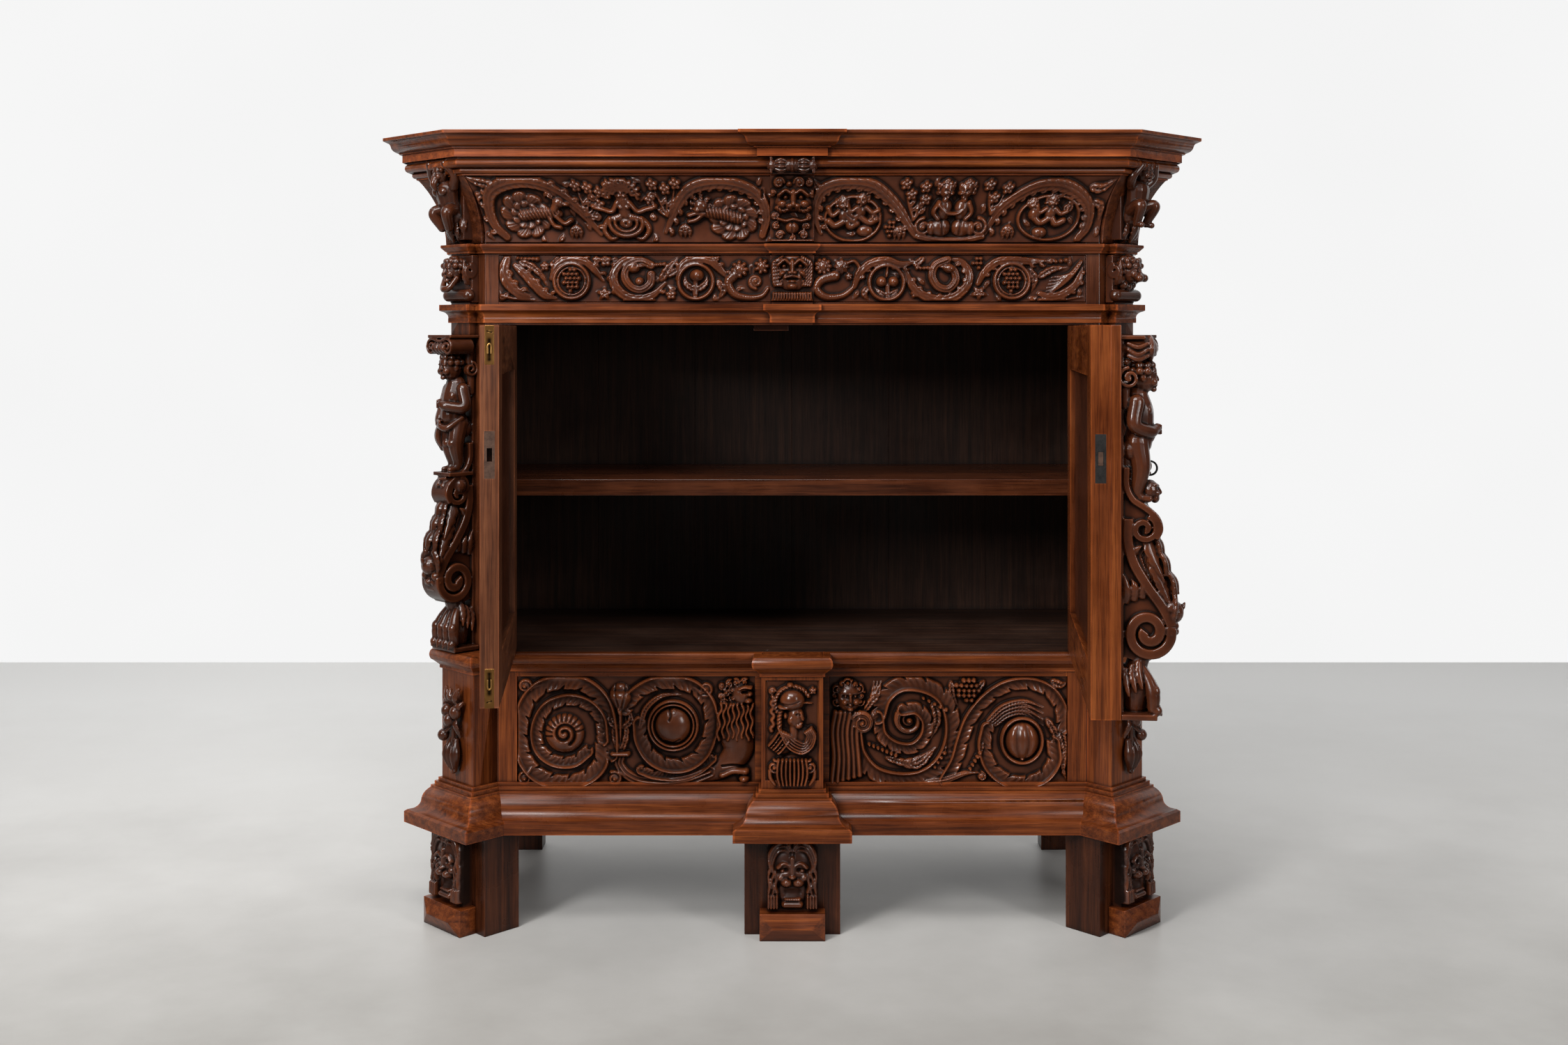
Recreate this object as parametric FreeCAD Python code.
import FreeCAD, Part
import math
import os

from FreeCAD import Matrix, Placement, Rotation, Vector

# A carved two-door cabinet with two frieze drawers, canted corners and figure carving.
# Millimetres. X runs right, Y runs back from the front frame, Z runs up from the floor.
# The origin is on the floor, on the centre line, below the face of the front frame.

# Heights of the zones, from the floor up
FOOT_HEIGHT = 193.0
BASE_MOULDING_HEIGHT = 90.0
PEDESTAL_HEIGHT = 218.0
WAIST_HEIGHT = 38.0
OPENING_HEIGHT = 645.0
LINTEL_HEIGHT = 44.0
LOWER_DRAWER_HEIGHT = 94.0
STRING_HEIGHT = 23.0
UPPER_DRAWER_HEIGHT = 130.0
BED_HEIGHT = 34.0
CROWN_HEIGHT = 48.0

# Plan of the case
OPENING_HALF = 579.0
STILE_WIDTH = 27.0
CASE_DEPTH = 525.0
PEDESTAL_REVEAL = 2.0
PEDESTAL_OUT = 57.0
PEDESTAL_FACE = 108.0
SIDE_REVEAL = 8.0
CENTRE_HALF = 60.0
CENTRE_OUT = 52.0
POST_BACK = 26.0
POST_SIDE = 30.0

# Cornice and flared frieze
CORONA_FRONT = 67.0
CORONA_SIDE = 91.0
CORONA_CORNER = 46.0
CORNICE_BREAK_HALF = 66.0
CORNICE_BREAK_OUT = 10.0
CYMA_OUT = 38.0
BED_INSET = 27.0
FLARE_FOOT = 6.0
FLARE_BELLY = 0.4
FLARE_RISE = 0.56
TOP_BOARD = 28.0

# Projections of the mouldings, and the plain margins above and below two of them
BASE_OUT = 54.0
WAIST_OUT = 18.5
LINTEL_OUT = 17.0
LINTEL_MARGIN = 4.0
STRING_OUT = 15.0
STRING_MARGIN = 2.5

# Boards and frames
FRAME_THICK = 28.0
PANEL_THICK = 14.0
PANEL_SETBACK = 6.0
PANEL_BORDER = 7.0
PANEL_FIELD = 4.0
SIDE_THICK = 30.0
SIDE_STILE = 62.0
SIDE_RAIL = 70.0
BOARD_THICK = 20.0
FLOOR_THICK = 22.0
BACK_THICK = 18.0
BACK_BOARDS = 6
BACK_GAP = 0.5
BACK_LAP = 8.0
BACK_INSET = 7.0
BASE_STILE = 36.0
BASE_RAIL = 11.0
BASE_MUNTIN = 13.0
PEDESTAL_RECESS = 5.0
PEDESTAL_BORDER = 8.0
SHELF_THICK = 33.0
SHELF_RISE = 297.0
SHELF_SETBACK = 110.0
BEARER_SIZE = 24.0
BEARER_INSET = 40.0

# Corner blocks that carry the mouldings round the canted corners
BLOCK_HALF = 32.0
BLOCK_OUT = 18.0
BLOCK_DROP = 20.0
BREAK_HALF = 40.0
BREAK_OUT = 9.0

# Feet
FOOT_HALF = 93.0
FOOT_THICK = 80.0
LION_HALF = 49.0
LION_OUT = 34.0
DIAMOND_HALF = 63.0
DIAMOND_OUT = 48.0
DIAMOND_HEIGHT = 52.0
DIAMOND_RISE = 11.0
REAR_FOOT_WIDTH = 86.0
REAR_FOOT_DEPTH = 51.0
REAR_FOOT_INSET = 41.0

# Doors
DOOR_THICK = 32.0
DOOR_GAP = 2.0
DOOR_OPEN = 84.0
MEETING_X = -42.0
MEETING_GAP = 1.2
DOOR_STILE = 72.0
DOOR_RAIL = 84.0
DOOR_PANEL = 14.0
DOOR_PANEL_SETBACK = 8.0
RELIEF_OUT = 26.0
PIVOT_EDGE = 1.0
PIVOT_PIN = 5.0
PIVOT_PIN_LENGTH = 14.0
PIVOT_FIT = 0.05
PIVOT_PLATE = 3.0
PIVOT_PLATE_WIDTH = 24.0
STOP_WIDTH = 70.0
STOP_DROP = 12.0

# Locking
LOCK_RISE = 426.0
LOCK_PLATE_HEIGHT = 80.0
LOCK_PLATE_WIDTH = 18.0
LOCK_PLATE_THICK = 2.5
LOCK_BACKSET = 96.0
LOCK_CASE_THICK = 14.0
LOCK_CASE_HEIGHT = 64.0
LOCK_BOLT_HEIGHT = 22.0
LOCK_BOLT_THICK = 8.0
LOCK_THROW = 12.0
SLIDE_FIT = 0.4
KEY_DROP = 22.0
KEY_SHANK = 3.0
KEY_BOW = 11.0
KEY_WIRE = 2.2
KEY_REACH = 62.0
FLUSH_PLATE_HEIGHT = 66.0
FLUSH_PLATE_WIDTH = 16.0
FLUSH_PLATE_THICK = 2.0
FLUSH_BOLT = 5.0
FLUSH_BOLT_LENGTH = 46.0
FLUSH_THROW = 14.0

# Drawers
DRAWER_GAP = 1.3
DRAWER_SIDE = 12.0
DRAWER_FRONT = 22.0
DRAWER_BACK_GAP = 28.0
DRAWER_BOTTOM = 8.0
DRAWER_HEADROOM = 14.0
DRAWER_REST = 0.3
GUIDE_GAP = 0.6
GUIDE_SIZE = 18.0
MASK_HALF = 43.0
MASK_OUT = 30.0

# Carved figures
FIGURE_HALF = 40.0
FIGURE_OUT = 92.0
BACKING = 17.0
PUTTO_HEIGHT = 250.0
VOLUTE_LOW = 44.0
VOLUTE_HIGH = 27.0
SCROLL_WIDTH = 50.0
SCROLL_BAND = 11.0
SCROLL_GROOVE = 4.0
SCROLL_TURNS = 1.5
SCROLL_STEPS = 8
SCROLL_SHARE = 0.25
SCROLL_PITCH = 1.64
PAW_HEIGHT = 88.0
HEAD_RADIUS = 27.0
BUST_OUT = 22.0
DROP_OUT = 24.0
CARVED_SIDES = 6
WREATH_SIDES = 12
MANE_LOCKS = 5

# Levels worked out from the heights
Z_BASE = FOOT_HEIGHT
Z_PEDESTAL = Z_BASE + BASE_MOULDING_HEIGHT
Z_WAIST = Z_PEDESTAL + PEDESTAL_HEIGHT
Z_FLOOR = Z_WAIST + WAIST_HEIGHT
Z_LINTEL = Z_FLOOR + OPENING_HEIGHT
Z_LOWER = Z_LINTEL + LINTEL_HEIGHT
Z_STRING = Z_LOWER + LOWER_DRAWER_HEIGHT
Z_UPPER = Z_STRING + STRING_HEIGHT
Z_BED = Z_UPPER + UPPER_DRAWER_HEIGHT
Z_CROWN = Z_BED + BED_HEIGHT
Z_TOP = Z_CROWN + CROWN_HEIGHT
Z_RING = Z_TOP - TOP_BOARD

# Plan points of the left side; the right side mirrors them
DIAGONAL = math.sqrt(0.5)
HALF_MITRE = math.tan(math.radians(22.5))
POST_CORNER = OPENING_HALF + STILE_WIDTH
PEDESTAL_INNER = (-(OPENING_HALF + PEDESTAL_REVEAL), 0.0)
PEDESTAL_NEAR = (PEDESTAL_INNER[0] - PEDESTAL_OUT * DIAGONAL, -PEDESTAL_OUT * DIAGONAL)
PEDESTAL_FAR = (PEDESTAL_NEAR[0] - PEDESTAL_FACE * DIAGONAL, PEDESTAL_NEAR[1] + PEDESTAL_FACE * DIAGONAL)
SIDE_PLANE = -PEDESTAL_FAR[0] - SIDE_REVEAL
PEDESTAL_OUTER = (-SIDE_PLANE, PEDESTAL_FAR[1] + SIDE_REVEAL)
PEDESTAL_MID = ((PEDESTAL_NEAR[0] + PEDESTAL_FAR[0]) / 2.0, (PEDESTAL_NEAR[1] + PEDESTAL_FAR[1]) / 2.0)
CANT = SIDE_PLANE - POST_CORNER
CANT_INNER = (-POST_CORNER, 0.0)
CANT_OUTER = (-SIDE_PLANE, CANT)
CANT_MID = (-(POST_CORNER + SIDE_PLANE) / 2.0, CANT / 2.0)
SIDE_INNER = SIDE_PLANE - SIDE_THICK
BACK_FACE = CASE_DEPTH - BACK_INSET - BACK_THICK
CORNER_TURN = 45.0

# Door pivots: each hanging edge is rounded about its pin
PIVOT_X = OPENING_HALF - DOOR_THICK / 2.0 - PIVOT_EDGE
PIVOT_Y = DOOR_THICK / 2.0
DOOR_LOW = Z_FLOOR + DOOR_GAP
DOOR_HIGH = Z_LINTEL - DOOR_GAP
Z_LOCK = Z_FLOOR + LOCK_RISE
Z_KEY = Z_LOCK - KEY_DROP
KEY_X = MEETING_X + LOCK_BACKSET

NODES = {}


def box(x0, x1, y0, y1, z0, z1):
    """Block between two corners."""
    return Part.makeBox(x1 - x0, y1 - y0, z1 - z0, Vector(x0, y0, z0))


def prism(points, z0, z1):
    """Upright block on a plan polygon."""
    corners = [Vector(x, y, z0) for x, y in points]
    return Part.Face(Part.makePolygon(corners + corners[:1])).extrude(Vector(0, 0, z1 - z0))


def profile_face(points, x=0.0):
    """Face in the outward/height plane. A step is a point, or a middle point and an end for an arc."""
    def place(point):
        return Vector(x, -point[0], point[1])

    edges = []
    start = points[0]
    for step in points[1:] + points[:1]:
        if isinstance(step[0], tuple):
            middle, end = step
            edges.append(Part.Arc(place(start), place(middle), place(end)).toShape())
        else:
            end = step
            edges.append(Part.makeLine(place(start), place(end)))
        start = end
    return Part.Face(Part.Wire(edges))


def mirrored(shape):
    """Copy on the other side of the centre line."""
    return shape.mirror(Vector(0, 0, 0), Vector(1, 0, 0))


def turned(shape, angle, centre):
    """Copy turned about an upright axis."""
    copy = shape.copy()
    copy.rotate(Vector(centre[0], centre[1], 0), Vector(0, 0, 1), angle)
    return copy


def to_corner(shape, centre):
    """Move a piece modelled facing the front to the left canted corner."""
    copy = shape.copy()
    copy.rotate(Vector(0, 0, 0), Vector(0, 0, 1), -CORNER_TURN)
    copy.translate(Vector(centre[0], centre[1], 0))
    return copy


def symmetric(left_points):
    """Open plan path from the back left, round the front, to the back right."""
    return left_points + [(-x, y) for x, y in reversed(left_points)]


def mitred(path, profile):
    """One moulding length for each stretch of a plan path, mitred to its neighbours."""
    flat = [step[1] if isinstance(step[0], tuple) else step for step in profile]
    middles = [step[0] for step in profile if isinstance(step[0], tuple)]
    reach = max(point[0] for point in flat + middles)
    low = min(point[1] for point in flat)
    high = max(point[1] for point in flat)
    headings = []
    for start, end in zip(path, path[1:]):
        headings.append(math.atan2(end[1] - start[1], end[0] - start[0]))
    lengths = []
    for index, heading in enumerate(headings):
        start, end = path[index], path[index + 1]
        span = math.hypot(end[0] - start[0], end[1] - start[1])
        before = heading - headings[index - 1] if index else 0.0
        after = headings[index + 1] - heading if index + 1 < len(headings) else 0.0
        near = math.tan(before / 2.0)
        far = math.tan(after / 2.0)
        plan = [(0, 0), (span, 0), (span + reach * far, -reach), (-reach * near, -reach)]
        bar = profile_face(profile, -reach).extrude(Vector(span + 2.0 * reach, 0, 0))
        length = bar.common(prism(plan, low, high))
        length.rotate(Vector(0, 0, 0), Vector(0, 0, 1), math.degrees(heading))
        length.translate(Vector(start[0], start[1], 0))
        lengths.append(length)
    return lengths


def ring(centre, axis, radius, sides):
    """Closed polygon round an axis, for faceted carving."""
    along = Vector(axis)
    along.normalize()
    across = along.cross(Vector(0, 1, 0) if abs(along.y) < 0.9 else Vector(0, 0, 1))
    across.normalize()
    upward = along.cross(across)
    points = []
    for index in range(sides):
        angle = 2.0 * math.pi * (index + 0.5) / sides
        points.append(centre + across * (radius * math.cos(angle)) + upward * (radius * math.sin(angle)))
    return points


def faceted(rings):
    """Solid with flat faces through polygons that share one axis."""
    outlines = [rings[0][::-1], rings[-1]]
    for low, high in zip(rings, rings[1:]):
        for index in range(len(low)):
            after = (index + 1) % len(low)
            outlines.append([low[index], low[after], high[after], high[index]])
    faces = [Part.Face(Part.makePolygon(points + points[:1])) for points in outlines]
    return Part.Solid(Part.makeShell(faces))


def ball(x, y, z, radius):
    """Faceted round boss by its centre, as a carver blocks it out."""
    centre = Vector(x, y, z)
    up = Vector(0, 0, 1)
    rings = [ring(centre + up * (radius * rise), up, radius * share, CARVED_SIDES)
             for rise, share in ((-0.85, 0.5), (0.0, 1.05), (0.85, 0.5))]
    return faceted(rings)


def limb(start, end, thick, thin):
    """Tapered faceted limb from one joint to the next."""
    first = Vector(*start)
    last = Vector(*end)
    along = last - first
    return faceted([ring(first, along, thick, CARVED_SIDES), ring(last, along, thin, CARVED_SIDES)])


def in_front(shape, reach):
    """Part of a carving that stands in front of its seat at y = 0."""
    return shape.common(box(-reach, reach, -reach, 0, 0, Z_TOP))


def bar_x(half, y, z, radius):
    """Round roll lying across the piece."""
    return Part.makeCylinder(radius, 2.0 * half, Vector(-half, y, z), Vector(1, 0, 0))


def ridge(half, y, z, radius):
    """Faceted roll lying across the piece."""
    return limb((-half, y, z), (half, y, z), radius, radius)


def fused(shapes):
    """One clean solid from several that meet."""
    return shapes[0].multiFuse(shapes[1:]).removeSplitter()


def node(name, *shapes):
    """Keep a piece, or a group of like pieces, under its name."""
    solids = []
    for shape in shapes:
        solids.extend(shape.Solids)
    NODES[name] = solids[0] if len(solids) == 1 else Part.makeCompound(solids)


def base_path():
    """Path of the base and waist mouldings, round the pedestals."""
    return symmetric([
        (-SIDE_PLANE, CASE_DEPTH), PEDESTAL_OUTER, PEDESTAL_FAR, PEDESTAL_NEAR, PEDESTAL_INNER,
        (-CENTRE_HALF, 0.0), (-CENTRE_HALF, -CENTRE_OUT)])


def block_point(lateral, out):
    """Point of the left canted corner, by its place along the cant and in front of it."""
    return (CANT_MID[0] + (lateral - out) * DIAGONAL, CANT_MID[1] - (lateral + out) * DIAGONAL)


def frieze_path():
    """Path of the lintel and string mouldings, round the corner blocks."""
    return symmetric([
        (-SIDE_PLANE, CASE_DEPTH), CANT_OUTER, block_point(-BLOCK_HALF, 0),
        block_point(-BLOCK_HALF, BLOCK_OUT), block_point(BLOCK_HALF, BLOCK_OUT), block_point(BLOCK_HALF, 0),
        CANT_INNER, (-BREAK_HALF, 0.0), (-BREAK_HALF, -BREAK_OUT)])


def crown_points(inset):
    """Left plan points of the corona, or of an outline set in from it."""
    front = CORONA_FRONT - inset
    side = SIDE_PLANE + CORONA_SIDE - inset
    corner = POST_CORNER + CORONA_CORNER - inset * HALF_MITRE
    return [(-side, CASE_DEPTH), (-side, side - corner - front), (-corner, -front)]


def make_feet():
    """Three front feet with a lion block and a diamond block, and two plain rear feet."""
    post = box(-FOOT_HALF, FOOT_HALF, 0, FOOT_THICK, 0, Z_BASE)
    lion = lion_block()
    wedge = diamond_block()
    centre = Vector(0, -CENTRE_OUT, 0)
    middle = [shape.translated(centre) for shape in (post, lion, wedge)]
    left = [to_corner(shape, PEDESTAL_MID) for shape in (post, lion, wedge)]
    node("front_feet", left[0], middle[0], mirrored(left[0]))
    node("foot_lion_masks", left[1], middle[1], mirrored(left[1]))
    node("foot_diamond_blocks", left[2], middle[2], mirrored(left[2]))
    rear = box(-SIDE_PLANE + REAR_FOOT_INSET, -SIDE_PLANE + REAR_FOOT_INSET + REAR_FOOT_WIDTH,
               CASE_DEPTH - REAR_FOOT_DEPTH, CASE_DEPTH, 0, Z_BASE)
    node("rear_feet", rear, mirrored(rear))


def lion_block():
    """Block in front of a foot, carved as a lion's mask over two paws."""
    tall = Z_BASE - DIAMOND_HEIGHT
    ground = LION_OUT * 0.45
    mid = DIAMOND_HEIGHT + tall * 0.52
    slab = box(-LION_HALF, LION_HALF, -ground, 0, DIAMOND_HEIGHT, Z_BASE)
    brow = ridge(LION_HALF * 0.62, -ground, mid + tall * 0.14, tall * 0.09)
    muzzle = limb((0, -ground, mid + tall * 0.12), (0, -LION_OUT + tall * 0.1, mid - tall * 0.08),
                  tall * 0.07, tall * 0.1)
    mane = []
    for share in range(MANE_LOCKS):
        angle = math.pi * share / (MANE_LOCKS - 1)
        mane.append(ball(LION_HALF * 0.78 * math.cos(angle), -ground,
                         mid + tall * (0.02 + 0.32 * math.sin(angle)), tall * 0.13))
    paws = [ball(side * LION_HALF * 0.66, -ground, DIAMOND_HEIGHT + tall * 0.13, tall * 0.12)
            for side in (-1, 1)]
    tongue = box(-LION_HALF * 0.3, LION_HALF * 0.3, -LION_OUT * 0.85, 0,
                 DIAMOND_HEIGHT + tall * 0.1, DIAMOND_HEIGHT + tall * 0.2)
    return in_front(fused([slab, brow, muzzle, tongue] + mane + paws), LION_HALF)


def diamond_block():
    """Toe block with a hipped front face."""
    back = -(DIAMOND_OUT - DIAMOND_RISE)
    rim = [Vector(x, back, z) for x, z in ((-DIAMOND_HALF, 0), (DIAMOND_HALF, 0),
                                           (DIAMOND_HALF, DIAMOND_HEIGHT), (-DIAMOND_HALF, DIAMOND_HEIGHT))]
    ridge_half = DIAMOND_HALF - DIAMOND_HEIGHT / 2.0
    left = Vector(-ridge_half, -DIAMOND_OUT, DIAMOND_HEIGHT / 2.0)
    right = Vector(ridge_half, -DIAMOND_OUT, DIAMOND_HEIGHT / 2.0)
    faces = []
    for outline in (rim[::-1], [rim[0], rim[1], right, left], [rim[1], rim[2], right],
                    [rim[2], rim[3], left, right], [rim[3], rim[0], left]):
        faces.append(Part.Face(Part.makePolygon(outline + outline[:1])))
    hip = Part.Solid(Part.makeShell(faces))
    return fused([box(-DIAMOND_HALF, DIAMOND_HALF, back, 0, 0, DIAMOND_HEIGHT), hip])


def base_profile():
    """Fascia, quirk, ogee and two small steps, from the bottom up."""
    out = BASE_OUT
    low = Z_BASE
    tall = BASE_MOULDING_HEIGHT
    return [
        (0.0, low), (out, low), (out, low + 0.24 * tall), (out - 5.0, low + 0.28 * tall),
        ((out * 0.66, low + 0.35 * tall), (out * 0.55, low + 0.5 * tall)),
        ((out * 0.47, low + 0.66 * tall), (out * 0.3, low + 0.78 * tall)),
        (out * 0.3, low + 0.83 * tall), (out * 0.2, low + 0.83 * tall), (out * 0.2, low + 0.92 * tall),
        (out * 0.1, low + 0.92 * tall), (out * 0.1, low + tall), (0.0, low + tall)]


def waist_profile():
    """Splay under a rounded ledge."""
    out = WAIST_OUT
    low = Z_WAIST
    tall = WAIST_HEIGHT
    return [
        (0.0, low), (out * 0.2, low), (out * 0.2, low + 0.16 * tall), (out * 0.66, low + 0.38 * tall),
        (out * 0.88, low + 0.46 * tall), ((out, low + 0.7 * tall), (out * 0.88, low + 0.93 * tall)),
        (out * 0.75, low + tall), (0.0, low + tall)]


def lintel_profile():
    """Ovolo, fillets and a top edge."""
    out = LINTEL_OUT
    low = Z_LINTEL + LINTEL_MARGIN
    tall = LINTEL_HEIGHT - 2.0 * LINTEL_MARGIN
    return [
        (0.0, low), (out * 0.25, low), (out * 0.25, low + 0.22 * tall),
        ((out * 0.36, low + 0.48 * tall), (out * 0.78, low + 0.62 * tall)), (out, low + 0.68 * tall),
        (out, low + tall), (0.0, low + tall)]


def string_profile():
    """Splay between two fillets."""
    out = STRING_OUT
    low = Z_STRING + STRING_MARGIN
    tall = STRING_HEIGHT - 2.0 * STRING_MARGIN
    return [
        (0.0, low), (out * 0.4, low), (out * 0.4, low + 0.25 * tall), (out * 0.55, low + 0.3 * tall),
        (out * 0.9, low + 0.66 * tall), (out, low + 0.72 * tall), (out, low + tall), (0.0, low + tall)]


def bed_profile():
    """Stepped rounds below the corona."""
    out = BED_INSET
    low = Z_BED
    tall = BED_HEIGHT
    return [
        (0.0, low), (out * 0.12, low), (out * 0.12, low + 0.1 * tall),
        ((out * 0.42, low + 0.24 * tall), (out * 0.3, low + 0.42 * tall)), (out * 0.42, low + 0.46 * tall),
        ((out * 0.92, low + 0.62 * tall), (out * 0.74, low + 0.9 * tall)), (out * 0.74, low + tall),
        (0.0, low + tall)]


def crown_profile():
    """Corona fascia, cyma and top edge."""
    out = CYMA_OUT
    low = Z_CROWN
    tall = CROWN_HEIGHT
    return [
        (0.0, low), (out * 0.06, low), (out * 0.06, low + 0.32 * tall), (out * 0.22, low + 0.34 * tall),
        (out * 0.22, low + 0.4 * tall), ((out * 0.5, low + 0.48 * tall), (out * 0.62, low + 0.64 * tall)),
        ((out * 0.74, low + 0.8 * tall), (out * 0.96, low + 0.86 * tall)), (out, low + 0.88 * tall),
        (out, low + tall), (0.0, low + tall)]


def make_base():
    """Mouldings, pedestals, framed panels and boards between the feet and the doors."""
    node("base_moulding", *mitred(base_path(), base_profile()))
    node("waist_moulding", *mitred(base_path(), waist_profile()))
    foot_line = [PEDESTAL_INNER, PEDESTAL_NEAR, PEDESTAL_FAR, PEDESTAL_OUTER, CANT_OUTER, CANT_INNER]
    corner = prism(foot_line, Z_BASE, Z_FLOOR)
    node("corner_pedestals", corner, mirrored(corner))
    shaft = box(-CENTRE_HALF, CENTRE_HALF, -CENTRE_OUT, 0, Z_BASE, Z_FLOOR)
    recess = box(-CENTRE_HALF + PEDESTAL_BORDER, CENTRE_HALF - PEDESTAL_BORDER, -CENTRE_OUT,
                 -CENTRE_OUT + PEDESTAL_RECESS, Z_PEDESTAL + 2.0 * PEDESTAL_BORDER, Z_WAIST - PEDESTAL_BORDER)
    node("centre_pedestal", shaft.cut(recess))
    node("centre_bust", bust())
    drop = to_corner(fruit_drop(), PEDESTAL_MID)
    node("fruit_drops", drop, mirrored(drop))
    low = Z_PEDESTAL - BASE_RAIL
    high = Z_WAIST - BASE_RAIL
    top = Z_FLOOR - FLOOR_THICK
    reach = OPENING_HALF - BASE_STILE
    muntin = CENTRE_HALF + BASE_MUNTIN
    stile = box(-OPENING_HALF, -reach, 0, FRAME_THICK, Z_BASE, top)
    bars = [box(-reach, reach, 0, FRAME_THICK, Z_BASE, low), box(-reach, reach, 0, FRAME_THICK, high, top)]
    middle = box(-muntin, muntin, 0, FRAME_THICK, low, high)
    node("base_front_frame", stile, mirrored(stile), middle, *bars)
    panel = raised_panel(-reach, -muntin, low, high, PANEL_SETBACK, PANEL_THICK)
    node("base_panels", panel, mirrored(panel))
    node("base_board", prism(inside_plan(FRAME_THICK), Z_BASE, Z_BASE + BOARD_THICK))
    node("cupboard_floor", floor_board())


def raised_panel(x0, x1, z0, z1, setback, thick):
    """Panel with a field raised in front of its bevelled border."""
    border = PANEL_BORDER
    back = box(x0, x1, setback, setback + thick, z0, z1)
    low = [Vector(x, setback, z) for x, z in ((x0, z0), (x1, z0), (x1, z1), (x0, z1))]
    field = [(x0 + border, z0 + border), (x1 - border, z0 + border), (x1 - border, z1 - border),
             (x0 + border, z1 - border)]
    high = [Vector(x, setback - PANEL_FIELD, z) for x, z in field]
    return fused([back, faceted([low, high])])


def post_plan():
    """Left canted corner post, from the opening round to the side frame."""
    inner = POST_BACK + STILE_WIDTH / 2.0
    side = CANT + POST_SIDE
    depth = side - inner
    return [(-OPENING_HALF, 0.0), CANT_INNER, CANT_OUTER, (-SIDE_PLANE, side),
            (-OPENING_HALF - depth, side), (-OPENING_HALF, inner)]


def inside_plan(front):
    """Plan of a board that fills the case behind the front frame and between the posts."""
    plan = post_plan()
    left = [(-OPENING_HALF, front), plan[5], plan[4], (-SIDE_INNER, plan[4][1]), (-SIDE_INNER, BACK_FACE)]
    if plan[4][0] < -SIDE_INNER:
        left[2:4] = [(-SIDE_INNER, plan[5][1] + SIDE_INNER - OPENING_HALF)]
    return left + [(-x, y) for x, y in reversed(left)]


def pivot_hole(z0, z1, extra):
    """Bore for a left door pin."""
    radius = PIVOT_PIN + extra
    return Part.makeCylinder(radius, z1 - z0, Vector(-PIVOT_X, PIVOT_Y, z0))


def plate_plan(z0, z1):
    """Left pivot plate before its bore."""
    half = PIVOT_PLATE_WIDTH / 2.0
    return box(-PIVOT_X - half, -PIVOT_X + half, PIVOT_Y - half, PIVOT_Y + half, z0, z1)


def flush_hole(z0, z1):
    """Hole that a thrown flush bolt enters when the left door is shut."""
    return Part.makeCylinder(FLUSH_BOLT + SLIDE_FIT, z1 - z0, Vector(flush_x(), PIVOT_Y, z0))


def flush_x():
    """Place of the flush bolts across the left door when shut."""
    return MEETING_X - MEETING_GAP - FLUSH_BOLT - FLUSH_PLATE_THICK - SLIDE_FIT


def floor_board():
    """Cupboard floor with the lower pivot plates let in and a hole for the flush bolt."""
    board = prism(inside_plan(0.0), Z_FLOOR - FLOOR_THICK, Z_FLOOR)
    seat = plate_plan(Z_FLOOR - PIVOT_PLATE, Z_FLOOR)
    bore = pivot_hole(Z_FLOOR - PIVOT_PIN_LENGTH, Z_FLOOR, PIVOT_FIT)
    for cut in (seat, bore, mirrored(seat), mirrored(bore), flush_hole(Z_FLOOR - FLUSH_THROW, Z_FLOOR)):
        board = board.cut(cut)
    return board


def lintel_board():
    """Rail over the doors with the upper pivot plates let in and a hole for the flush bolt."""
    rail = box(-OPENING_HALF, OPENING_HALF, 0, DOOR_THICK + PIVOT_EDGE, Z_LINTEL, Z_LOWER)
    seat = plate_plan(Z_LINTEL, Z_LINTEL + PIVOT_PLATE)
    bore = pivot_hole(Z_LINTEL, Z_LINTEL + PIVOT_PIN_LENGTH, PIVOT_FIT)
    for cut in (seat, bore, mirrored(seat), mirrored(bore), flush_hole(Z_LINTEL, Z_LINTEL + FLUSH_THROW)):
        rail = rail.cut(cut)
    return rail


def back_boards():
    """Upright boards of the back, half lapped so that no light shows between them."""
    width = (2.0 * SIDE_INNER - (BACK_BOARDS - 1) * BACK_GAP) / BACK_BOARDS
    middle = BACK_FACE + BACK_THICK / 2.0
    boards = []
    for index in range(BACK_BOARDS):
        left = -SIDE_INNER + index * (width + BACK_GAP)
        right = left + width
        left_lap = 0.0 if index == 0 else BACK_LAP
        right_lap = 0.0 if index == BACK_BOARDS - 1 else BACK_LAP
        front = box(left, right, BACK_FACE, middle, Z_BASE, Z_BED)
        rear = box(left + left_lap, right + right_lap, middle, BACK_FACE + BACK_THICK, Z_BASE, Z_BED)
        boards.append(front.fuse(rear).removeSplitter())
    return boards


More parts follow.
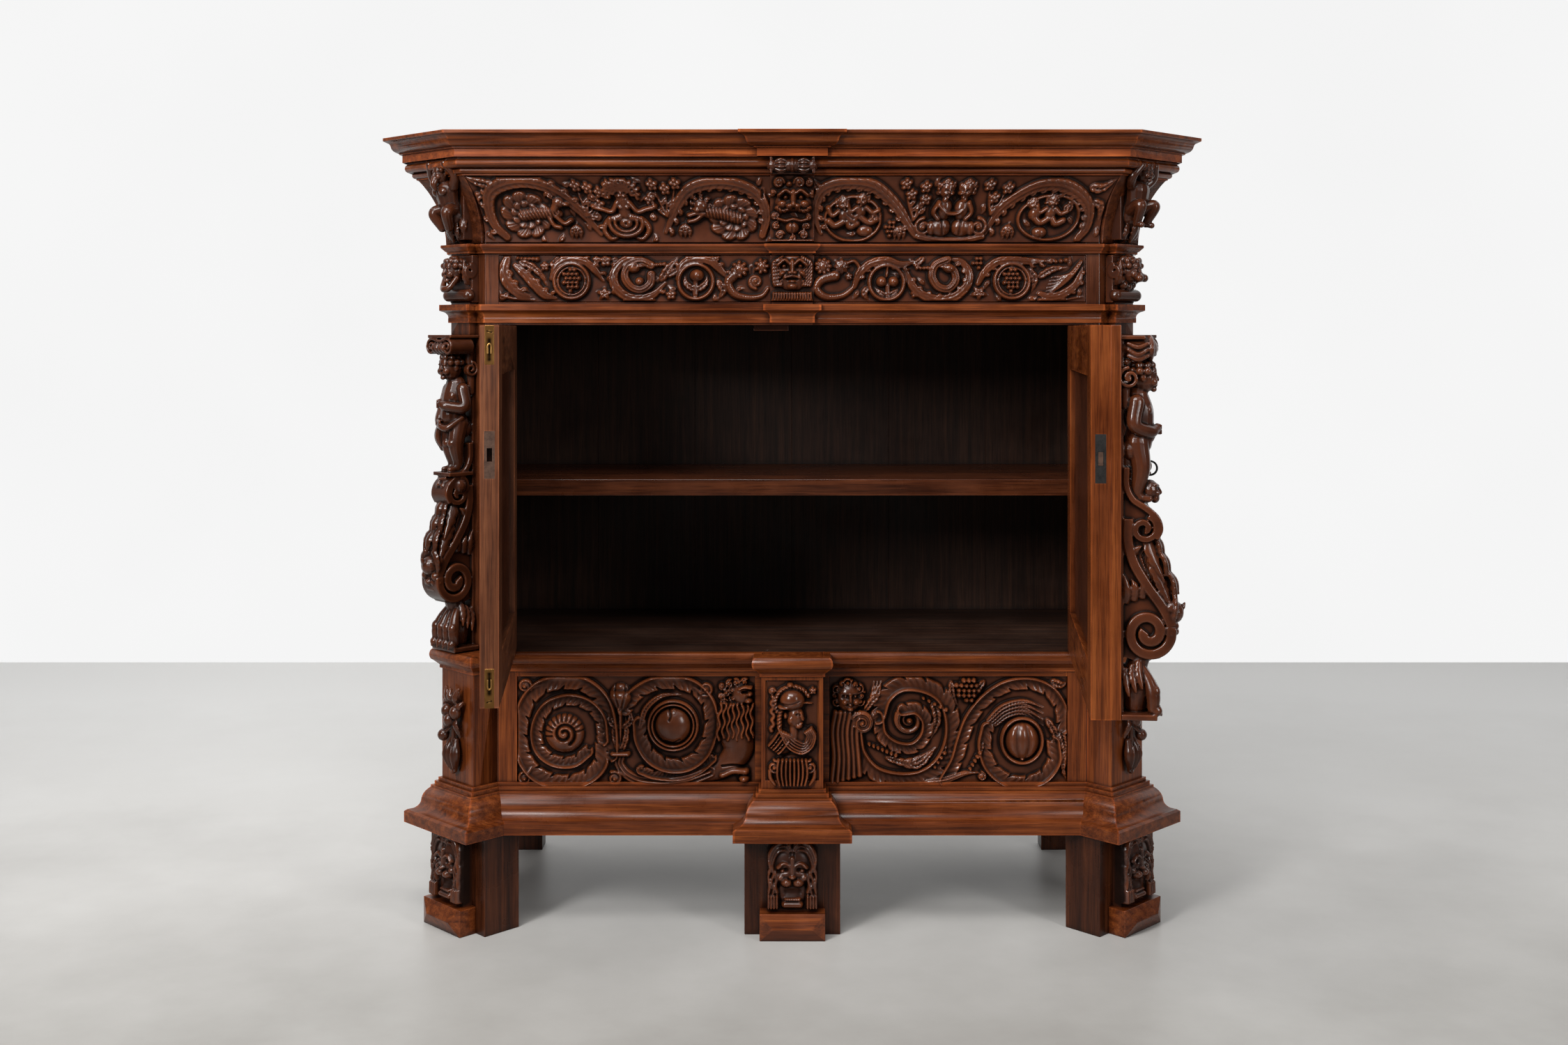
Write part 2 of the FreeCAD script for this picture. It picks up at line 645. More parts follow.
def make_case():
    """Posts, sides, back, shelf and the rails and boards round the drawers."""
    post = prism(post_plan(), Z_BASE, Z_BED)
    blocks = corner_blocks()
    node("corner_posts", post, mirrored(post), *(blocks + [mirrored(block) for block in blocks]))
    make_sides()
    node("back_boards", *back_boards())
    z_shelf = Z_FLOOR + SHELF_RISE
    board = prism(inside_plan(FRAME_THICK), z_shelf, z_shelf + SHELF_THICK)
    reach = box(-SIDE_PLANE, SIDE_PLANE, SHELF_SETBACK, BACK_FACE, z_shelf, z_shelf + SHELF_THICK)
    node("shelf", board.common(reach))
    bearer = box(-SIDE_INNER, -SIDE_INNER + BEARER_SIZE, SHELF_SETBACK + BEARER_INSET, BACK_FACE,
                 z_shelf - BEARER_SIZE, z_shelf)
    node("shelf_bearers", bearer, mirrored(bearer))
    string = box(-OPENING_HALF, OPENING_HALF, 0, FRAME_THICK, Z_STRING, Z_UPPER)
    node("front_rails", lintel_board(), string, *break_blocks())
    node("lintel_moulding", *mitred(frieze_path(), lintel_profile()))
    node("string_moulding", *mitred(frieze_path(), string_profile()))
    plates = [plate_plan(low, low + PIVOT_PLATE).cut(pivot_hole(low, low + PIVOT_PLATE, PIVOT_FIT))
              for low in (Z_FLOOR - PIVOT_PLATE, Z_LINTEL)]
    node("pivot_plates", *(plates + [mirrored(plate) for plate in plates]))
    stop = box(MEETING_X - STOP_WIDTH / 2.0, MEETING_X + STOP_WIDTH / 2.0, DOOR_THICK + PIVOT_EDGE,
               DOOR_THICK + PIVOT_EDGE + BEARER_SIZE, Z_LINTEL - STOP_DROP, Z_LOWER - BOARD_THICK)
    node("door_stop", stop)
    ceiling = prism(inside_plan(DOOR_THICK + PIVOT_EDGE), Z_LOWER - BOARD_THICK, Z_LOWER)
    divider = prism(inside_plan(FRAME_THICK), Z_UPPER - BOARD_THICK, Z_UPPER)
    node("drawer_dust_boards", ceiling, divider)
    node("drawer_guides", *drawer_guides())
    make_top()


def make_sides():
    """Framed sides with two raised panels each."""
    front = CANT + POST_SIDE
    stiles = [box(-SIDE_PLANE, -SIDE_INNER, front, front + SIDE_STILE, Z_BASE, Z_BED),
              box(-SIDE_PLANE, -SIDE_INNER, CASE_DEPTH - SIDE_STILE, CASE_DEPTH, Z_BASE, Z_BED)]
    y0 = front + SIDE_STILE
    y1 = CASE_DEPTH - SIDE_STILE
    levels = [(Z_BASE, Z_PEDESTAL + SIDE_RAIL / 2.0), (Z_WAIST - SIDE_RAIL / 2.0, Z_FLOOR + SIDE_RAIL),
              (Z_LINTEL - SIDE_RAIL, Z_BED)]
    rails = [box(-SIDE_PLANE, -SIDE_INNER, y0, y1, low, high) for low, high in levels]
    panels = []
    for (_, low), (high, _) in zip(levels, levels[1:]):
        flat = raised_panel(y0, y1, low, high, PANEL_SETBACK, PANEL_THICK)
        flat.rotate(Vector(0, 0, 0), Vector(0, 0, 1), -90.0)
        flat.translate(Vector(-SIDE_PLANE, y0 + y1, 0))
        panels.append(flat)
    left = stiles + rails
    node("side_frames", *(left + [mirrored(shape) for shape in left]))
    node("side_panels", *(panels + [mirrored(shape) for shape in panels]))


def drawer_half():
    """Half width of both drawer boxes."""
    return OPENING_HALF - GUIDE_GAP


def drawer_guides():
    """Strips that keep each drawer box straight, on the dust boards behind the posts."""
    plan = post_plan()
    strips = []
    for level in (Z_LOWER, Z_UPPER):
        strip = box(-OPENING_HALF - GUIDE_SIZE, -OPENING_HALF, plan[5][1] + GUIDE_SIZE, BACK_FACE,
                    level, level + GUIDE_SIZE)
        strips.extend([strip, mirrored(strip)])
    return strips


def corner_blocks():
    """Blocks on the left canted corner behind the lintel and string mouldings."""
    plan = [block_point(-BLOCK_HALF, 0), block_point(-BLOCK_HALF, BLOCK_OUT),
            block_point(BLOCK_HALF, BLOCK_OUT), block_point(BLOCK_HALF, 0)]
    return [prism(plan, Z_LINTEL - BLOCK_DROP, Z_LOWER), prism(plan, Z_STRING, Z_UPPER)]


def break_blocks():
    """Blocks on the centre line behind the lintel and string mouldings."""
    return [box(-BREAK_HALF, BREAK_HALF, -BREAK_OUT, 0, low, high)
            for low, high in ((Z_LINTEL, Z_LOWER), (Z_STRING, Z_UPPER))]


def flare(share_point, crown_point, share):
    """Point between the case corner and the bed moulding's corner."""
    return (share_point[0] + share * (crown_point[0] - share_point[0]),
            share_point[1] + share * (crown_point[1] - share_point[1]))


def flared_wire(inner, outer):
    """End outline of a flared frieze: upright foot, hollow face, flat top."""
    foot = flare(inner, outer, FLARE_FOOT / (CORONA_FRONT - BED_INSET))
    belly = flare(inner, outer, FLARE_BELLY)
    low = Vector(foot[0], foot[1], Z_UPPER)
    middle = Vector(belly[0], belly[1], Z_UPPER + UPPER_DRAWER_HEIGHT * FLARE_RISE)
    high = Vector(outer[0], outer[1], Z_BED)
    top = Vector(inner[0], inner[1], Z_BED)
    root = Vector(inner[0], inner[1], Z_UPPER)
    return Part.Wire([Part.makeLine(root, low), Part.Arc(low, middle, high).toShape(),
                      Part.makeLine(high, top), Part.makeLine(top, root)])


def flared_run(inner0, outer0, inner1, outer1):
    """Stretch of flared frieze between two corner planes."""
    return Part.makeLoft([flared_wire(inner0, outer0), flared_wire(inner1, outer1)], True, True)


def make_top():
    """Flared friezes, bed frame, bed moulding, top board and cornice."""
    bed = crown_points(BED_INSET)
    case = [(-SIDE_PLANE, CASE_DEPTH), CANT_OUTER, CANT_INNER]
    runs = [flared_run(case[0], bed[0], case[1], bed[1]), flared_run(case[1], bed[1], case[2], bed[2])]
    node("side_friezes", *(runs + [mirrored(run) for run in runs]))
    plan = prism(symmetric(bed), Z_BED, Z_RING)
    reach = SIDE_PLANE + CORONA_SIDE
    bars = [box(-reach, reach, -CORONA_FRONT, FRAME_THICK, Z_BED, Z_RING),
            box(-reach, -OPENING_HALF, FRAME_THICK, CASE_DEPTH, Z_BED, Z_RING),
            box(OPENING_HALF, reach, FRAME_THICK, CASE_DEPTH, Z_BED, Z_RING),
            box(-OPENING_HALF, OPENING_HALF, BACK_FACE, CASE_DEPTH, Z_BED, Z_RING)]
    node("bed_frame", *[plan.common(bar) for bar in bars])
    node("bed_moulding", *mitred(symmetric(bed), bed_profile()))
    broken = [(-CORNICE_BREAK_HALF, -CORONA_FRONT), (-CORNICE_BREAK_HALF, -CORONA_FRONT - CORNICE_BREAK_OUT)]
    crown = symmetric(crown_points(0.0) + broken)
    node("top_board", prism(crown, Z_RING, Z_TOP))
    node("cornice_moulding", *mitred(crown, crown_profile()))
    front = CORONA_FRONT - BED_INSET
    spool = [box(-MASK_HALF, MASK_HALF, -CORONA_FRONT, -front - BED_INSET * 0.8, Z_BED, Z_CROWN)]
    spool.append(bar_x(MASK_HALF * 0.94, -CORONA_FRONT, (Z_BED + Z_CROWN) / 2.0, BED_HEIGHT * 0.3))
    block = fused(spool)
    for length in NODES["bed_moulding"].Solids:
        block = block.cut(length)
    node("centre_spool_cap", block)


def spiral_band(centre, radius, width):
    """Volute band: a spiral wound forward and down from its top, extruded across the piece."""
    band = radius * SCROLL_SHARE
    outer = []
    inner = []
    for step in range(int(SCROLL_TURNS * SCROLL_STEPS) + 1):
        turn = step / SCROLL_STEPS
        reach = radius - band * SCROLL_PITCH * turn
        out = -math.sin(2.0 * math.pi * turn)
        rise = math.cos(2.0 * math.pi * turn)
        for path, size in ((outer, reach), (inner, reach - band)):
            path.append(Vector(-width / 2.0, centre[0] + size * out, centre[1] + size * rise))
    outline = outer + inner[::-1]
    return Part.Face(Part.makePolygon(outline + outline[:1])).extrude(Vector(width, 0, 0))


def volute(centre, radius, width):
    """Scroll end: a raised spiral band over a narrower round core."""
    half = Vector(width / 2.0 - SCROLL_GROOVE, 0, 0)
    middle = Vector(0, centre[0], centre[1])
    round_core = radius * (1.0 - SCROLL_SHARE * 0.4)
    core = faceted([ring(end, half, round_core, SCROLL_STEPS) for end in (middle - half, middle + half)])
    return [core, spiral_band(centre, radius, width)]


def putto(z0, tall, y):
    """Standing child figure: legs, belly, chest, folded arms and head."""
    unit = tall / 10.0
    legs = [limb((side * unit * 0.8, y, z0 + unit * 4.2), (side * unit * 0.7, y, z0 + unit * 0.4),
                 unit * 0.85, unit * 0.5) for side in (-1, 1)]
    trunk = limb((0, y, z0 + unit * 3.8), (0, y, z0 + unit * 7.2), unit * 1.35, unit * 1.5)
    arms = []
    for side in (-1, 1):
        elbow = (side * unit * 1.7, y - unit * 0.3, z0 + unit * 5.2)
        arms.append(limb((side * unit * 1.4, y, z0 + unit * 7.0), elbow, unit * 0.6, unit * 0.5))
        arms.append(limb(elbow, (side * unit * 0.3, y - unit * 1.6, z0 + unit * 5.8), unit * 0.5, unit * 0.4))
    head = ball(0, y - unit * 0.2, z0 + unit * 8.7, unit * 1.3)
    return legs + [trunk, head] + arms


def caryatid():
    """Figure on an S-scroll console with a lion's paw, facing the front, back at y = 0."""
    low = DOOR_LOW
    high = Z_LINTEL - BLOCK_DROP
    tall = high - low
    lower = (-VOLUTE_LOW - SCROLL_BAND * 0.3, low + PAW_HEIGHT + VOLUTE_LOW)
    neck = lower[1] + (tall - PAW_HEIGHT - PUTTO_HEIGHT - 2.0 * VOLUTE_LOW) * 0.62 + VOLUTE_LOW
    upper = (-VOLUTE_HIGH - SCROLL_BAND * 0.5, neck)
    parts = volute(lower, VOLUTE_LOW, SCROLL_WIDTH) + volute(upper, VOLUTE_HIGH, SCROLL_WIDTH)
    half = SCROLL_WIDTH / 2.0
    stem = [(0.0, low), (SCROLL_WIDTH * 0.5, low), (SCROLL_WIDTH * 0.55, low + PAW_HEIGHT * 0.6),
            ((SCROLL_WIDTH * 0.72, low + PAW_HEIGHT * 1.2), (VOLUTE_LOW * 1.7, lower[1])),
            ((VOLUTE_LOW * 1.05, lower[1] + VOLUTE_LOW * 1.25),
             (SCROLL_BAND * 2.2, neck - VOLUTE_HIGH * 0.8)),
            ((SCROLL_BAND * 1.8, neck), (SCROLL_BAND * 2.6, neck + VOLUTE_HIGH)),
            (0.0, neck + VOLUTE_HIGH * 1.6)]
    web = profile_face(stem, -half + SCROLL_GROOVE).extrude(Vector(SCROLL_WIDTH - 2.0 * SCROLL_GROOVE, 0, 0))
    parts.append(web)
    toes = [limb((side * half * 0.62, -SCROLL_WIDTH * 0.5, low + PAW_HEIGHT * 0.5),
                 (side * half * 0.7, -SCROLL_WIDTH * 0.95, low + PAW_HEIGHT * 0.15),
                 PAW_HEIGHT * 0.13, PAW_HEIGHT * 0.14) for side in (-1, 0, 1)]
    garland = [ball(0, -FIGURE_OUT + VOLUTE_LOW * 0.36, lower[1] + VOLUTE_LOW * 0.7, VOLUTE_LOW * 0.36),
               ball(0, -VOLUTE_LOW * 1.7, lower[1] - VOLUTE_LOW * 0.3, VOLUTE_LOW * 0.36),
               limb((0, -VOLUTE_HIGH, neck - VOLUTE_HIGH), (0, -VOLUTE_LOW * 1.55, lower[1] + VOLUTE_LOW),
                    VOLUTE_LOW * 0.3, VOLUTE_LOW * 0.42)]
    foot_z = neck + VOLUTE_HIGH + SCROLL_BAND * 0.4
    cap = high - foot_z
    parts += toes + garland
    parts += putto(foot_z - SCROLL_BAND, cap * 0.86, -FIGURE_HALF * 0.85)
    parts.append(box(-FIGURE_HALF, FIGURE_HALF, -FIGURE_OUT * 0.66, 0, high - cap * 0.06, high))
    for side in (-1, 1):
        roll = Vector(side * FIGURE_HALF * 0.72, 0, high - cap * 0.1)
        parts.append(limb(roll, roll - Vector(0, FIGURE_OUT * 0.6, 0), cap * 0.055, cap * 0.055))
    spine = box(-half * 0.6, half * 0.6, -FIGURE_HALF * 0.7, 0, foot_z - SCROLL_BAND, high)
    board = box(-FIGURE_HALF * 0.9, FIGURE_HALF * 0.9, -BACKING * 0.35, 0, low, high)
    return in_front(fused([spine, board] + parts), FIGURE_OUT * 2.0)


def corner_head():
    """Head corbel with side volutes over a small cushion, facing the front, back at y = 0."""
    low = Z_LOWER
    tall = LOWER_DRAWER_HEIGHT
    back = box(-BLOCK_HALF, BLOCK_HALF, -BLOCK_OUT, 0, low, low + tall)
    skull = limb((0, -BLOCK_OUT, low + tall * 0.72), (0, -BLOCK_OUT - HEAD_RADIUS * 0.9, low + tall * 0.56),
                 HEAD_RADIUS * 1.05, HEAD_RADIUS)
    rolls = [bar_x(BLOCK_HALF * 1.1, -BLOCK_OUT * 0.9, low + tall * 0.72, tall * 0.2)]
    for index in range(3):
        forward = -BLOCK_OUT - index * tall * 0.11
        rolls.append(ridge(BLOCK_HALF * 0.95, forward, low + tall * 0.11, tall * 0.1))
    return in_front(fused([back, skull] + rolls), tall * 2.0)


def bracket_figure():
    """Crouching figure below the cornice, on a hollow bracket, facing the front, back at y = 0."""
    low = Z_UPPER
    tall = Z_CROWN - Z_UPPER
    out = bracket_reach()
    unit = tall / 8.0
    high = low + tall
    hollow = [(0.0, low), (out * 0.25, low), ((out * 0.42, low + tall * 0.5), (out, high)), (0.0, high)]
    web = profile_face(hollow, -BLOCK_HALF * 0.7).extrude(Vector(BLOCK_HALF * 1.4, 0, 0))
    body = limb((0, -out * 0.42, low + unit * 2.6), (0, -out * 0.78, low + unit * 5.2),
                unit * 1.1, unit * 1.25)
    head = ball(0, -out * 0.95, low + unit * 6.9, unit * 0.95)
    parts = [web, body, head]
    for side in (-1, 1):
        knee = (side * unit * 0.9, -out * 0.85, low + unit * 2.3)
        parts.append(limb((side * unit * 0.7, -out * 0.5, low + unit * 2.8), knee, unit * 0.6, unit * 0.55))
        parts.append(limb(knee, (side * unit * 0.5, -out * 0.45, low + unit * 0.7), unit * 0.55, unit * 0.4))
        elbow = (side * unit * 1.9, -out * 0.85, low + unit * 6.0)
        parts.append(limb((side * unit * 1.0, -out * 0.75, low + unit * 5.4), elbow, unit * 0.5, unit * 0.45))
        hand = (side * unit * 1.2, -out * 0.8, high - unit * 0.5)
        parts.append(limb(elbow, hand, unit * 0.45, unit * 0.4))
    return fused(parts)


def bracket_reach():
    """How far the canted frieze stands out at the bed moulding."""
    outer = crown_points(0.0)
    middle = ((outer[1][0] + outer[2][0]) / 2.0, (outer[1][1] + outer[2][1]) / 2.0)
    return (CANT_MID[0] - middle[0] + CANT_MID[1] - middle[1]) * DIAGONAL


def make_figures():
    """Corner caryatids, heads and bracket figures."""
    left = to_corner(caryatid(), CANT_MID)
    node("left_caryatid", left)
    node("right_caryatid", mirrored(left))
    head = to_corner(corner_head(), CANT_MID)
    node("left_corner_head", head)
    node("right_corner_head", mirrored(head))
    bracket = to_corner(bracket_figure(), CANT_MID)
    for solid in NODES["side_friezes"].Solids + NODES["bed_moulding"].Solids + NODES["bed_frame"].Solids:
        bracket = bracket.cut(solid)
    bracket = max(bracket.Solids, key=lambda solid: solid.Volume)
    node("left_bracket_figure", bracket)
    node("right_bracket_figure", mirrored(bracket))


def bust():
    """Helmeted bust over a scroll, in the centre pedestal's recess."""
    ground = -CENTRE_OUT + PEDESTAL_RECESS
    unit = PEDESTAL_HEIGHT / 10.0
    z0 = Z_PEDESTAL + 2.0 * PEDESTAL_BORDER
    roll = bar_x(CENTRE_HALF - PEDESTAL_BORDER * 1.6, ground, z0 + unit * 1.3, unit * 0.8)
    slab = box(-CENTRE_HALF * 0.6, CENTRE_HALF * 0.6, ground - PEDESTAL_RECESS, ground, z0, z0 + unit * 6.0)
    shoulders = ridge(unit * 1.2, ground, z0 + unit * 4.2, unit)
    crown = (0, ground - BUST_OUT * 0.25, z0 + unit * 7.6)
    head = limb((0, ground, z0 + unit * 4.8), crown, unit * 0.7, unit)
    front = box(-CENTRE_HALF, CENTRE_HALF, -2.0 * CENTRE_OUT, ground, Z_PEDESTAL, Z_WAIST)
    return fused([piece.common(front) for piece in (slab, roll, shoulders, head)])


def fruit_drop():
    """Hanging bunch of fruit and leaves, facing the front, back at y = 0."""
    unit = PEDESTAL_HEIGHT / 10.0
    z0 = Z_PEDESTAL + unit * 2.0
    tip = (0, -DROP_OUT * 0.4, z0 + unit * 0.8)
    parts = [limb((0, -DROP_OUT * 0.3, z0 + unit * 5.4), tip, unit * 0.5, unit * 0.7)]
    for side, rise in ((-1, 5.2), (1, 4.9), (-1, 3.0), (1, 2.7)):
        parts.append(ball(side * unit * 0.8, -DROP_OUT * 0.45, z0 + unit * rise, unit * 0.62))
    whole = fused(parts)
    return whole.cut(box(-CENTRE_HALF, CENTRE_HALF, 0, DROP_OUT * 2.0, Z_PEDESTAL, Z_WAIST))


def door_blank(x0, x1, z0, z1):
    """Door board from the rounded hanging edge at the left to the meeting edge."""
    half = DOOR_THICK / 2.0
    board = box(x0, x1, 0, DOOR_THICK, z0, z1)
    return board.fuse(Part.makeCylinder(half, z1 - z0, Vector(x0, half, z0))).removeSplitter()


def door_pieces(reach):
    """Frame pieces and panel of a door that hangs at the left and is reach wide from its pivot."""
    x0 = -PIVOT_X
    x1 = x0 + reach
    stiles = [door_blank(x0, x0 + DOOR_STILE, DOOR_LOW, DOOR_HIGH),
              box(x1 - DOOR_STILE, x1, 0, DOOR_THICK, DOOR_LOW, DOOR_HIGH)]
    rails = [box(x0 + DOOR_STILE, x1 - DOOR_STILE, 0, DOOR_THICK, DOOR_LOW, DOOR_LOW + DOOR_RAIL),
             box(x0 + DOOR_STILE, x1 - DOOR_STILE, 0, DOOR_THICK, DOOR_HIGH - DOOR_RAIL, DOOR_HIGH)]
    panel = raised_panel(x0 + DOOR_STILE, x1 - DOOR_STILE, DOOR_LOW + DOOR_RAIL, DOOR_HIGH - DOOR_RAIL,
                         DOOR_PANEL_SETBACK, DOOR_PANEL)
    return stiles, rails, panel


def door_relief(reach):
    """Main mass of a door panel's carving: an oval wreath round a head."""
    x_mid = -PIVOT_X + reach / 2.0
    z_mid = (DOOR_LOW + DOOR_HIGH) / 2.0
    ground = DOOR_PANEL_SETBACK - PANEL_FIELD
    wide = (reach - 2.0 * DOOR_STILE) / 2.0
    tall = (DOOR_HIGH - DOOR_LOW) / 2.0 - DOOR_RAIL
    radius = min(wide, tall)
    out = Vector(0, -1, 0)
    centre = Vector(x_mid, ground, z_mid)
    crest = centre + out * RELIEF_OUT * 0.6
    peak = centre + out * RELIEF_OUT

    def cone(*levels):
        return faceted([ring(middle, out, radius * share, WREATH_SIDES) for middle, share in levels])

    wreath = cone((centre, 0.88), (crest, 0.74))
    hollow = cone((centre, 0.46), (crest, 0.6))
    head = cone((centre, 0.32), (crest, 0.24), (peak, 0.1))
    return wreath.cut(hollow).fuse(head)


def pivot_pins():
    """Top and bottom pins of the left door, let into its hanging stile."""
    pins = []
    for z0, z1 in ((Z_FLOOR - PIVOT_PIN_LENGTH + DOOR_GAP, DOOR_LOW + PIVOT_PIN_LENGTH),
                   (DOOR_HIGH - PIVOT_PIN_LENGTH, Z_LINTEL + PIVOT_PIN_LENGTH - DOOR_GAP)):
        pins.append(pivot_hole(z0, z1, 0.0))
    return pins


def lock_block(x0, x1, thick, tall):
    """Block of the lock or its strike, centred in the doors' thickness at the lock's height."""
    return box(x0, x1, PIVOT_Y - thick / 2.0, PIVOT_Y + thick / 2.0, Z_LOCK - tall / 2.0, Z_LOCK + tall / 2.0)


def make_left_door():
    """Left door with its strike plate and two flush bolts, shown open."""
    reach = MEETING_X - MEETING_GAP + PIVOT_X
    edge = MEETING_X - MEETING_GAP
    stiles, rails, panel = door_pieces(reach)
    pins = pivot_pins()
    strike = lock_block(edge - LOCK_PLATE_THICK, edge, LOCK_PLATE_WIDTH, LOCK_PLATE_HEIGHT)
    catch = lock_block(edge - LOCK_THROW - SLIDE_FIT, edge, LOCK_BOLT_THICK + 2.0 * SLIDE_FIT,
                       LOCK_BOLT_HEIGHT + 2.0 * SLIDE_FIT)
    plates = []
    bolts = []
    cuts = pins + [strike, catch]
    for top in (False, True):
        z0 = DOOR_HIGH - FLUSH_PLATE_HEIGHT if top else DOOR_LOW
        plate = box(edge - FLUSH_PLATE_THICK, edge, PIVOT_Y - FLUSH_PLATE_WIDTH / 2.0,
                    PIVOT_Y + FLUSH_PLATE_WIDTH / 2.0, z0, z0 + FLUSH_PLATE_HEIGHT)
        foot = Vector(flush_x(), PIVOT_Y, z0)
        channel = Part.makeCylinder(FLUSH_BOLT + PIVOT_FIT, FLUSH_PLATE_HEIGHT, foot)
        z_bolt = DOOR_HIGH - FLUSH_BOLT_LENGTH if top else DOOR_LOW
        bolts.append(Part.makeCylinder(FLUSH_BOLT, FLUSH_BOLT_LENGTH, Vector(flush_x(), PIVOT_Y, z_bolt)))
        plates.append(plate)
        cuts.extend([plate, channel])
    for cut in cuts:
        stiles = [stile.cut(cut) for stile in stiles]
    pivot = (-PIVOT_X, PIVOT_Y)
    groups = {
        "left_door_frame": stiles + rails, "left_door_panel": [fused([panel, door_relief(reach)])],
        "left_door_pins": pins, "strike_plate": [strike.cut(catch)], "flush_bolt_plates": plates,
        "bottom_flush_bolt": bolts[:1], "top_flush_bolt": bolts[1:]}
    for name, shapes in groups.items():
        node(name, *[turned(shape, -DOOR_OPEN, pivot) for shape in shapes])


def make_right_door():
    """Right door with the centre caryatid, the lock, its bolt and the key, shown open."""
    reach = PIVOT_X - MEETING_X
    stiles, rails, panel = door_pieces(reach)
    stiles = [mirrored(stile) for stile in stiles]
    rails = [mirrored(rail) for rail in rails]
    panel = mirrored(panel)
    pins = [mirrored(pin) for pin in pivot_pins()]
    edge = MEETING_X
    plate = lock_block(edge, edge + LOCK_PLATE_THICK, LOCK_PLATE_WIDTH, LOCK_PLATE_HEIGHT)
    inner = edge + LOCK_BACKSET - KEY_BOW
    bolt = lock_block(edge, inner, LOCK_BOLT_THICK, LOCK_BOLT_HEIGHT)
    room = lock_block(edge, inner + SLIDE_FIT, LOCK_BOLT_THICK + 2.0 * SLIDE_FIT,
                      LOCK_BOLT_HEIGHT + 2.0 * SLIDE_FIT)
    case = lock_block(edge + LOCK_PLATE_THICK, KEY_X + KEY_BOW, LOCK_CASE_THICK, LOCK_CASE_HEIGHT)
    hole = key_hole(SLIDE_FIT)
    backing = box(edge, -edge, -BACKING, 0, DOOR_LOW, DOOR_HIGH)
    figure = caryatid()
    figure.translate(Vector(0, -BACKING, 0))
    figure = fused([backing, figure])
    for cut in pins + [plate, case, hole]:
        stiles = [stile.cut(cut) for stile in stiles]
    rails = [rail.cut(case) for rail in rails]
    panel = fused([panel, mirrored(door_relief(reach))]).cut(case).cut(hole)
    pivot = (PIVOT_X, PIVOT_Y)
    groups = {
        "right_door_frame": stiles + rails, "right_door_panel": [panel], "right_door_pins": pins,
        "centre_caryatid": [figure], "lock_case": [fused([plate, case]).cut(room).cut(key_hole(PIVOT_FIT))],
        "lock_bolt": [bolt], "key": [key()]}
    for name, shapes in groups.items():
        node(name, *[turned(shape, DOOR_OPEN, pivot) for shape in shapes])


def key_hole(fit):
    """Round hole for the key's shank, from the door's face into the lock."""
    mouth = Vector(KEY_X, -BACKING, Z_KEY)
    return Part.makeCylinder(KEY_SHANK + fit, PIVOT_Y + BACKING, mouth, Vector(0, 1, 0))


def key():
    """Key in the right door's lock: shank and round bow standing upright."""
    reach = KEY_REACH
    shank = Part.makeCylinder(KEY_SHANK, reach + PIVOT_Y * 0.6, Vector(KEY_X, -reach, Z_KEY), Vector(0, 1, 0))
    middle = Vector(KEY_X - KEY_WIRE / 2.0, -reach - KEY_BOW, Z_KEY)
    bow = Part.makeCylinder(KEY_BOW + KEY_WIRE, KEY_WIRE, middle, Vector(1, 0, 0))
    bow = bow.cut(Part.makeCylinder(KEY_BOW - KEY_WIRE * 0.5, KEY_WIRE, middle, Vector(1, 0, 0)))
    return fused([shank, bow])


def drawer_box(half, z0, z1):
    """Sides, back and bottom of a drawer behind its front."""
    y0 = DRAWER_FRONT
    y1 = BACK_FACE - DRAWER_BACK_GAP
    thick = DRAWER_SIDE
    sides = [box(-half, -half + thick, y0, y1, z0, z1), box(half - thick, half, y0, y1, z0, z1)]
    back = box(-half + thick, half - thick, y1 - thick, y1, z0 + DRAWER_BOTTOM, z1)
    bottom = box(-half + thick, half - thick, y0, y1, z0, z0 + DRAWER_BOTTOM)
    return sides + [back, bottom]


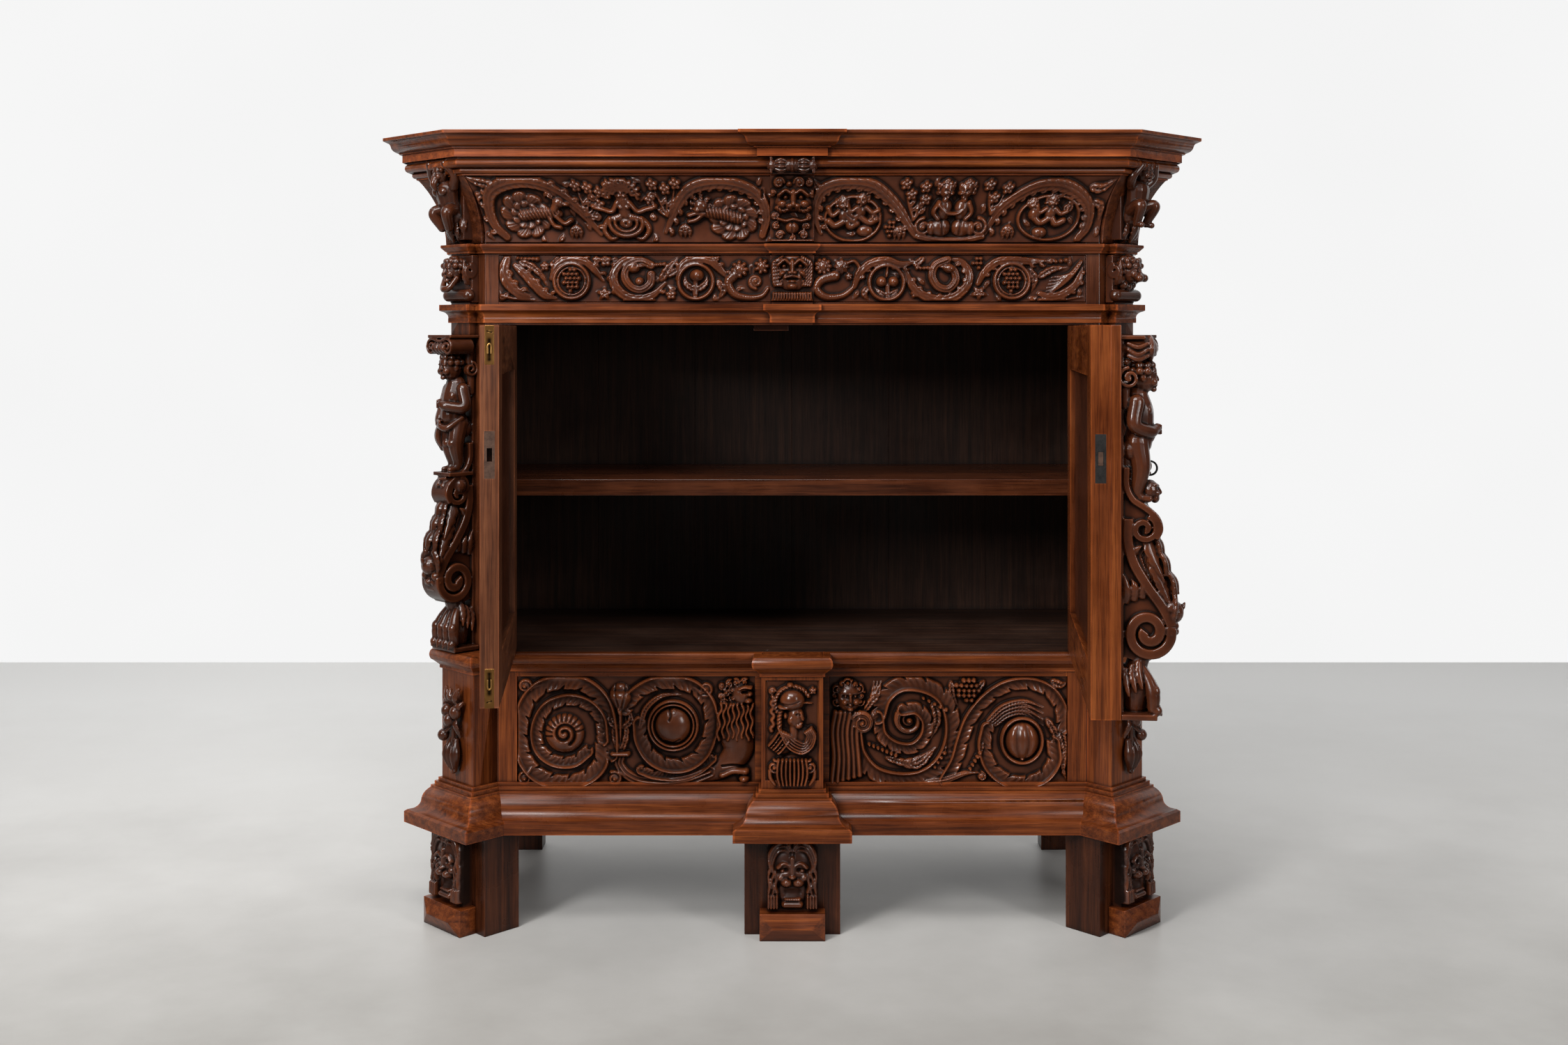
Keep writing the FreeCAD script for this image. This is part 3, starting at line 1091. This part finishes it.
def grotesque(z0, z1, y, out):
    """Mask on a drawer's centre: cheeks, brow, nose, jaw and collar."""
    tall = z1 - z0
    slab = box(-MASK_HALF, MASK_HALF, y - out * 0.25, y, z0, z1)
    chin = (0, y - out * 0.4, z0 + tall * 0.42)
    face = limb((0, y - out * 0.1, z0 + tall * 0.62), chin, tall * 0.28, tall * 0.22)
    brow = ridge(MASK_HALF * 0.7, y - out * 0.45, z0 + tall * 0.72, tall * 0.08)
    collar = bar_x(MASK_HALF * 0.92, y - out * 0.3, z0 + tall * 0.12, tall * 0.1)
    return in_front(fused([slab, face, brow, collar]), out * 4.0)


def make_drawers():
    """Flat lower drawer and flared upper drawer, each with a centre mask."""
    half = drawer_half()
    low = Z_LOWER + DRAWER_GAP
    high = Z_STRING - DRAWER_GAP
    front = box(-half, half, 0, DRAWER_FRONT, low, high)
    node("lower_drawer_front", front)
    node("lower_drawer_box", *drawer_box(half, Z_LOWER + DRAWER_REST, high - DRAWER_HEADROOM))
    node("lower_drawer_mask", grotesque(low, high, 0.0, MASK_OUT))
    bed = crown_points(BED_INSET)
    inner = (CANT_INNER[0] + DRAWER_GAP, CANT_INNER[1] - DRAWER_REST)
    outer = (bed[2][0] + DRAWER_GAP, bed[2][1])
    run = flared_run(inner, outer, (-inner[0], inner[1]), (-outer[0], outer[1]))
    low = Z_UPPER + DRAWER_GAP
    high = Z_BED - DRAWER_GAP
    run = run.common(box(-SIDE_PLANE * 2.0, SIDE_PLANE * 2.0, -CORONA_FRONT, 0, low, high))
    tongue = box(-half, half, -DRAWER_REST, DRAWER_FRONT, low, high)
    node("upper_drawer_front", fused([run, tongue]))
    node("upper_drawer_box", *drawer_box(half, Z_UPPER + DRAWER_REST, high - DRAWER_HEADROOM))
    mask = grotesque(low, high, -FLARE_FOOT - MASK_OUT * 0.5, MASK_OUT)
    apron = box(-MASK_HALF, MASK_HALF, -FLARE_FOOT - MASK_OUT * 0.5, 0, low, high)
    node("upper_drawer_mask", fused([mask, apron]).cut(NODES["upper_drawer_front"]))


def main():
    make_feet()
    make_base()
    make_case()
    make_figures()
    make_left_door()
    make_right_door()
    make_drawers()
    os.makedirs("parts", exist_ok=True)
    for name, shape in NODES.items():
        shape.exportStep(os.path.join("parts", name + ".step"))
    print(len(NODES), "nodes")


main()
